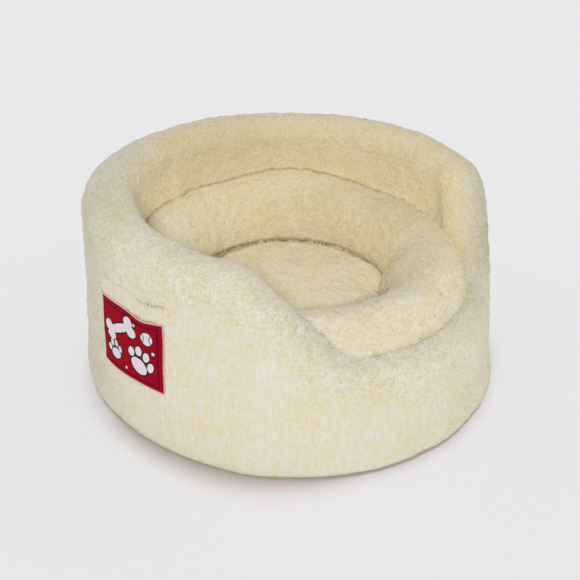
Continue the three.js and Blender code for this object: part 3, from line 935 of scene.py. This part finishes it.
def pad_row(stretch, share, angle):
    """Radius and height all around the pad, at a share of one stretch of its section."""
    edge = pad_radius(angle)
    rounding = 1 - swell(PAD_SQUARE, angle)
    low = BASE_THICKNESS + GAP
    if stretch == "below":
        return (edge - PAD_LOW_CORNER[0][0]) * max(share, POLE_START), low
    if stretch == "corner":
        inset, rise = corner_at(PAD_LOW_CORNER, share)
        return edge - inset, low + rise
    if stretch == "side":
        inset, depth = corner_at(PAD_CORNER, share)
        return edge - inset * rounding, PAD_EDGE - depth
    top = edge - PAD_CORNER[-1][0] * rounding
    return top * (1 - share), PAD_EDGE + PAD_CROWN * (1 - (1 - share) ** 2)


angles, radius, height, stretch = around_bed(PAD_STEPS, pad_row, PAD_AROUND)
points = pole_rows(in_place(radius, height, angles))
sideways, along, outward = directions(points, closed=False)
outward[0], outward[-1] = (0, 0, -1), (0, 0, 1)
on_top = np.append(np.isin(stretch, ["side", "crown"]), True)[:, None] + 0.0 * angles
depth = PILE_DEPTH + lumps(points, PAD_LUMPS, 3) + lumps(points, CURLS, 6)
points = points - outward * (on_top * depth)[..., None]
from_edge = PAD_RADIUS - np.hypot(points[..., 0], points[..., 1])
far_side = side(PAD_FAR_SIDE, angles)
pucker = np.clip(lumps(points, PUCKERS, 5) + 0.5, 0, 1)
drawn = PAD_GATHERS["least"] + (PAD_GATHERS["most"] - PAD_GATHERS["least"]) * pucker
drawn = far_side * drawn * smoothstep(from_edge, *PAD_GATHERS["reach"])
sunk = drawn - swell(PAD_LIFT, angles) * smoothstep(from_edge, *PAD_LIFT["reach"])
is_upper = points[..., 2] > PAD_UPPER
outwards = swell(PAD_PRESS, angles) - PAD_DRAWN_IN * sunk
points[..., :2] *= 1 + (is_upper * outwards / PAD_RADIUS)[..., None]
points[..., 2] -= is_upper * sunk
swirl = lumps(points, PAD_SWIRL, 9)
level = 0 * swirl
fields = {
    "pile": on_top,
    "wild": PAD_CURL + level,
    "comb": np.stack([np.cos(swirl), np.sin(swirl), level], -1),
    "warm": PAD_WARMTH + level,
    "stand": level,
    # Painted shade along the pad's far edge.
    "shade": far_side * smoothstep(from_edge, 8, 5),
    "painted_light": PAD_LIGHT + level,
}

pad_mesh = grid_mesh("pad_cover", points, closed=False, attributes=fields)
merge_points(pad_mesh, POLE_MERGE)
grow_pile("pad_pile", pad_mesh.copy(), seed=21)
pad = put_in_scene("pad_cover", pad_mesh, fleece_ground)
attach(pad, "root")
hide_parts("centre_pad")


# Pocket
# A flat panel of the same fleece is sewn on the wall's left side by its two sides and its bottom.
# Its top edge is turned over once and stands a little open.
POCKET_THICKNESS = 1.6
POCKET_STAND = 2.6  # from the wall's cover to the front of the panel's own cover
SEAM_STAND = 0.2  # the same along its seams
SEAM_SLOPE = 14  # width over which it rises from its seams
POCKET_MOUTH = {"angle": -86, "spread": 6, "size": 2.0, "depth": 26, "drawn": 0.6}  # it gapes on the right
EDGE_DIP = {"angle": -89.8, "spread": 6, "size": 4.5}  # the top edges of pocket and patch sag here
POCKET_GRID = (50, 50)
POCKET_SWIRL = [{"size": 1.0, "width": 40}]
POCKET_CURL = 0.5
# Painted shade where the pocket turns away from the key light.
POCKET_SHADE = {"angle": -120, "spread": 28, "size": 0.12}
SHEET_MERGE = 0.01
PATCH = {"angle": -95, "width": 104, "low": 79, "high": 167, "turn": 1.7}
PATCH_HIDES = {"side": 0.49, "low": 0.01, "high": 0.985}  # shares of the patch with no pile under them


def panel_grid(form, columns, rows):
    """Angle, height, place across and share of the height, for a panel bent around the wall."""
    across, up = np.meshgrid(np.linspace(-0.5, 0.5, columns) * form["width"], np.linspace(0, 1, rows))
    angle = math.radians(form["angle"]) + across / MEAN_RADIUS
    flat = form["low"] + (form["high"] - form["low"]) * up + across * math.tan(math.radians(form["turn"]))
    return angle, flat - swell(EDGE_DIP, angle) * up**2, across, up


def pocket_front(angle, height):
    """Radius of the front of the pocket's cover: drawn in at its seams, open at its mouth."""
    across = (angle - math.radians(POCKET["angle"])) * MEAN_RADIUS
    near_mouth = smoothstep(height, POCKET["high"] - POCKET_MOUTH["depth"], POCKET["high"])
    from_seam = np.minimum(POCKET["width"] / 2 - np.abs(across), height - POCKET["low"])
    risen = smoothstep(from_seam, 0, SEAM_SLOPE) * (1 - POCKET_MOUTH["drawn"] * near_mouth)
    stand = SEAM_STAND + (POCKET_STAND - SEAM_STAND) * risen + swell(POCKET_MOUTH, angle) * near_mouth
    on_wall = wall_outer(angle, height)
    return on_wall - PILE_DEPTH - lumps(in_place(on_wall, height, angle), WALL_LUMPS, 1) + stand


def edged(values, edge):
    """A grid with the first and last column of another one on its sides."""
    return np.concatenate([edge[:, :1], values, edge[:, -1:]], 1)


def sheet_mesh(name, front, outward, thickness, attributes=None):
    """A closed sheet from the grid of its front, with rounded edges. Its pile keeps off its edges."""
    middle, back = front - outward * thickness / 2, front - outward * thickness
    bottom, top = (edged(row, row) for row in (middle[:1], middle[-1:]))
    loop = np.concatenate([bottom, edged(front, middle), top, edged(back, middle)[::-1]])
    on_front = np.zeros(loop.shape[:2])
    on_front[3 : len(front) + 2, 3:-3] = 1
    fields = {}
    for key, values in (attributes or {}).items():
        wide = edged(values, values)
        fields[key] = np.concatenate([wide[:1], wide, wide[-1:], wide[::-1]])
    if "pile" in fields:
        fields["pile"] *= on_front
    mesh = grid_mesh(name, loop, around=False, attributes=fields)
    merge_points(mesh, SHEET_MERGE)
    return mesh


angle, height, across, up = panel_grid(POCKET, *POCKET_GRID)
points = in_place(pocket_front(angle, height), height, angle)
sideways, along, outward = directions(points, closed=False, around=False)
pocket_mesh = sheet_mesh("pocket_cover", points, outward, POCKET_THICKNESS)
pocket = put_in_scene("pocket_cover", pocket_mesh, fleece_ground)
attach(pocket, "root")
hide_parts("pocket")

patch_height = PATCH["high"] - PATCH["low"]
up_patch = (height - across * math.tan(math.radians(PATCH["turn"])) - PATCH["low"]) / patch_height
under_patch = np.abs(across / PATCH["width"]) < PATCH_HIDES["side"]
under_patch = under_patch & (up_patch > PATCH_HIDES["low"]) & (up_patch < PATCH_HIDES["high"])
swirl = lumps(points, POCKET_SWIRL, 7)[..., None]
level = 0 * height
fields = {
    "pile": (~under_patch).astype(float),
    "wild": POCKET_CURL + level,
    "comb": sideways * np.sin(swirl) - along * np.cos(swirl),
    "warm": level,
    "stand": level,
    "shade": level,
    # Painted shade, as on the wall around it.
    "painted_light": 1 - swell(POCKET_SHADE, angle),
}
pile_mesh = sheet_mesh("pocket_pile", points, outward, POCKET_THICKNESS, fields)
grow_pile("pocket_pile", pile_mesh, seed=31)


# Patch
# A piece of smooth satin, printed in crimson with white and black motifs, is sewn flat on the pocket.
# Its cut edge is bound all round with close stitches of pale thread.
PATCH_THICKNESS = 1.1
PATCH_STAND = 1.9  # from the front of the pocket's cover to the front of the patch
PATCH_GRID = (53, 45)
PRINT_CRIMSON = "9C0016"
PRINT_PURPLE = "7A0020"
PRINT_MAROON = "4C0A1C"
PRINT_WHITE = "D6CED4"
PRINT_BLACK = "1E1A20"
FRAME_LINE = {"inset": 6.5, "width": 2.6, "ink": 0.85}
OUTLINE = 1.6  # of each motif
INK_EDGE = 0.15  # it fades out over this far to both sides
INK_WOBBLE = {"noise": 0.22, "size": 1.6}  # in a millimetre: 4.5 mm wide
BLOTCHES = {"noise": 0.09, "gain": 1.6, "offset": -0.55}  # 11 mm wide, where the crimson is more purple
DISC_BLEND = 0.8  # where the discs of a motif meet
# Discs of a motif: x, y and the two half-widths, about its own middle.
BONE = [(0, 0, 21, 4.6), (-18, 5, 6.6, 6), (-18, -5, 6.6, 6), (18, 5, 6.6, 6), (18, -5, 6.6, 6)]
PAW = [
    (0, -4, 9.5, 7.2),
    (-11.5, 3.5, 3.4, 4.8), (-4.5, 10, 3.5, 5), (4.5, 10, 3.5, 5), (11.5, 3.5, 3.4, 4.8),
]
DISC = [(0, 0, 1, 1)]
MOTIFS = {
    "bone": {"discs": BONE, "at": (-15, 59), "turn": 28, "size": 1.15},
    "large_paw": {"discs": PAW, "at": (18, 29), "turn": -18, "size": 1.35},
    "small_paw": {"discs": PAW, "at": (-25, 25), "turn": 14, "size": 0.9},
    "ball": {"discs": DISC, "at": (30, 66), "turn": 0, "size": 8.5},
    "top_dot": {"discs": DISC, "at": (11, 76), "turn": 0, "size": 2.0},
    "left_dot": {"discs": DISC, "at": (-38, 43), "turn": 0, "size": 1.8},
    "right_dot": {"discs": DISC, "at": (39, 49), "turn": 0, "size": 2.2},
    "low_dot": {"discs": DISC, "at": (-5, 12), "turn": 0, "size": 1.8},
}
BALL_SEAMS = [{"at": (18.5, 66), "radius": 7.5}, {"at": (41.5, 66), "radius": 7.5}]
SEAM_LINE = {"half_width": 0.6, "from_edge": 0.7}

# Satin: a close polyester weave with a smooth, faintly shiny face. The threads are 0.25 mm apart and are
# drawn 1.3 mm apart so that they show. The ink lies in the cloth, a little unevenly.
SATIN = {"waves": 0.35, "relief": 0.2}  # waves of this scale are 1.3 mm apart

printed_satin, tree, shader = new_material("printed_satin")
place = add(tree, "ShaderNodeAttribute", attribute_name="print_place").outputs["Vector"]
wobble = add(tree, "ShaderNodeTexNoise", place, Scale=INK_WOBBLE["noise"], Detail=2).outputs["Color"]
reach = (INK_WOBBLE["size"], INK_WOBBLE["size"], 0)
drawn = add(tree, "ShaderNodeVectorMath", wobble, reach, place, operation="MULTIPLY_ADD")
distances = {}
for name, motif in MOTIFS.items():
    own = add(
        tree, "ShaderNodeMapping", drawn, vector_type="TEXTURE", Location=(*motif["at"], 0),
        Rotation=(0, 0, math.radians(motif["turn"])), Scale=(motif["size"], motif["size"], 1),
    )
    for x, y, wide, high in motif["discs"]:
        scale = min(wide, high) * motif["size"]
        share = add(
            tree, "ShaderNodeVectorMath", own, (1 / wide, 1 / high, 0), (-x / wide, -y / high, 0),
            operation="MULTIPLY_ADD",
        )
        away = add(tree, "ShaderNodeVectorMath", share, operation="LENGTH")
        distance = add(tree, "ShaderNodeMath", away, scale, -scale, operation="MULTIPLY_ADD")
        if name in distances:
            distance = add(
                tree, "ShaderNodeMath", distances[name], distance, DISC_BLEND, operation="SMOOTH_MIN",
            )
        distances[name] = distance
nearest, *others = distances.values()
for other in others:
    nearest = add(tree, "ShaderNodeMath", nearest, other, operation="MINIMUM")

seam_lines = []
for seam in BALL_SEAMS:
    away = add(tree, "ShaderNodeVectorMath", drawn, (*seam["at"], 0), operation="DISTANCE")
    away = add(tree, "ShaderNodeMath", away, seam["radius"], operation="SUBTRACT")
    seam_lines.append(add(tree, "ShaderNodeMath", away, operation="ABSOLUTE"))
seam_line = add(tree, "ShaderNodeMath", *seam_lines, operation="MINIMUM")
off_ball = add(tree, "ShaderNodeMath", distances["ball"], SEAM_LINE["from_edge"], operation="ADD")
seam_line = add(tree, "ShaderNodeMath", seam_line, off_ball, operation="MAXIMUM")

axes = add(tree, "ShaderNodeSeparateXYZ", drawn).outputs
over_line = []
for axis, middle, half in (("X", 0, PATCH["width"] / 2), ("Y", patch_height / 2, patch_height / 2)):
    away = add(tree, "ShaderNodeMath", axes[axis], middle, operation="SUBTRACT")
    away = add(tree, "ShaderNodeMath", away, operation="ABSOLUTE")
    over_line.append(add(tree, "ShaderNodeMath", away, half - FRAME_LINE["inset"], operation="SUBTRACT"))
frame_line = add(tree, "ShaderNodeMath", *over_line, operation="MAXIMUM")
frame_line = add(tree, "ShaderNodeMath", frame_line, operation="ABSOLUTE")

blotches = add(tree, "ShaderNodeTexNoise", place, Scale=BLOTCHES["noise"], Detail=3)
blotches = add(
    tree, "ShaderNodeMath", blotches, BLOTCHES["gain"], BLOTCHES["offset"], operation="MULTIPLY_ADD",
)
crimson, purple = linear(PRINT_CRIMSON), linear(PRINT_PURPLE)
printed = add(tree, "ShaderNodeMix", blotches, crimson, purple, data_type="RGBA")
for distance, edge, ink, colour in (
    (frame_line, FRAME_LINE["width"] / 2, FRAME_LINE["ink"], PRINT_MAROON),
    (nearest, OUTLINE, 1, PRINT_BLACK),
    (nearest, 0, 1, PRINT_WHITE),
    (seam_line, SEAM_LINE["half_width"], 1, PRINT_BLACK),
):
    inked = add(
        tree, "ShaderNodeMapRange", distance,
        From_Min=edge - INK_EDGE, From_Max=edge + INK_EDGE, To_Min=ink, To_Max=0,
    )
    printed = add(tree, "ShaderNodeMix", inked, printed, linear(colour), data_type="RGBA")
threads = add(
    tree, "ShaderNodeTexWave", place, bands_direction="DIAGONAL", Scale=SATIN["waves"], Distortion=1.2,
)
bump = add(
    tree, "ShaderNodeBump", Height=threads.outputs["Fac"], Distance=SATIN["relief"] * MM, Strength=0.5,
)
fill(shader, Base_Color=printed, Normal=bump, Roughness=0.7, Specular_IOR_Level=0.04)

angle, height, across, up = panel_grid(PATCH, *PATCH_GRID)
points = in_place(pocket_front(angle, height) + PATCH_STAND, height, angle)
_, _, outward = directions(points, closed=False, around=False)
print_place = np.stack([across, up * patch_height, 0 * up], -1)
patch_mesh = sheet_mesh("patch_cloth", points, outward, PATCH_THICKNESS, {"print_place": print_place})
patch = put_in_scene("patch_cloth", patch_mesh, printed_satin)
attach(patch, "root")
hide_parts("patch")


# Stitches round the patch
# Close stitches of pale polyester thread lie over the patch's cut edge, side by side, and hold it on the
# pocket. Each is a flat loop nearly 3 mm long.
STITCH = {"Spacing": 1.5, "Length": 2.7, "Width": 1.3, "Height": 1.2}
STITCH_SLANT = 0.25
STITCH_SINK = 0.1  # into the patch's face

# Sewing thread: twisted polyester, a pale pink white, with a slight shine and a fine mottle of its fibres.
THREAD_COLOURS = ("C9A5A2", "DDC2BC")
FIBRE_NOISE = 1500  # in a metre: 0.7 mm wide

polyester_thread, tree, shader = new_material("polyester_thread")
place = add(tree, "ShaderNodeTexCoord").outputs["Object"]
fibres = add(tree, "ShaderNodeTexNoise", place, Scale=FIBRE_NOISE)
colour = add(tree, "ShaderNodeMix", fibres, *map(linear, THREAD_COLOURS), data_type="RGBA")
fill(shader, Base_Color=colour, Roughness=0.6)


def stitch_tree():
    """Stitches across a line, whose points say which way is `across` it and which way is `outward`."""
    inputs = {"Line": "Geometry", "Material": "Material"} | dict.fromkeys(STITCH, "Float")
    tree, given = new_tree("edge_stitches", inputs, "Stitches")
    line = add(tree, "GeometryNodeMeshToCurve", given["Line"])
    line = add(tree, "GeometryNodeResampleCurve", line, mode="LENGTH", Length=given["Spacing"])
    ways = [
        add(tree, "GeometryNodeInputNamedAttribute", data_type="FLOAT_VECTOR", Name=name)
        for name in ("across", "outward")
    ]
    turn = add(tree, "FunctionNodeAxesToRotation", *ways, primary_axis="Z", secondary_axis="X")
    size = add(tree, "ShaderNodeCombineXYZ", given["Height"], given["Width"], given["Length"])
    loop = add(tree, "GeometryNodeMeshUVSphere", Segments=6, Rings=4, Radius=0.5)
    stitches = add(tree, "GeometryNodeInstanceOnPoints", line, Instance=loop, Rotation=turn, Scale=size)
    stitches = add(tree, "GeometryNodeRealizeInstances", stitches)
    stitches = add(tree, "GeometryNodeSetShadeSmooth", stitches)
    stitches = add(tree, "GeometryNodeSetMaterial", stitches, Material=given["Material"])
    add(tree, "NodeGroupOutput", stitches)
    return tree


last_row, last_column = up.shape[0] - 1, up.shape[1] - 1
edge = [(0, column) for column in range(last_column)]
edge += [(row, last_column) for row in range(last_row)]
edge += [(last_row, column) for column in range(last_column, 0, -1)]
edge += [(row, 0) for row in range(last_row, 0, -1)]
rows, columns = np.array(edge).T
facing = outward[rows, columns]
line = points[rows, columns] - facing * STITCH_SINK
around = unit(np.roll(line, -1, 0) - np.roll(line, 1, 0))
slant = unit(np.cross(around, facing) + STITCH_SLANT * around)
line_mesh = bpy.data.meshes.new("patch_stitches")
line_mesh.from_pydata((line * MM).tolist(), [(i, (i + 1) % len(line)) for i in range(len(line))], [])
for name, values in {"across": slant, "outward": facing}.items():
    layer = line_mesh.attributes.new(name, "FLOAT_VECTOR", "POINT")
    layer.data.foreach_set("vector", np.float32(values).ravel())
stitches = put_in_scene("patch_stitches", line_mesh)
sizes = {key: size * MM for key, size in STITCH.items()}
make_plain(stitches, stitch_tree(), {"Material": polyester_thread} | sizes)
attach(stitches, "root")
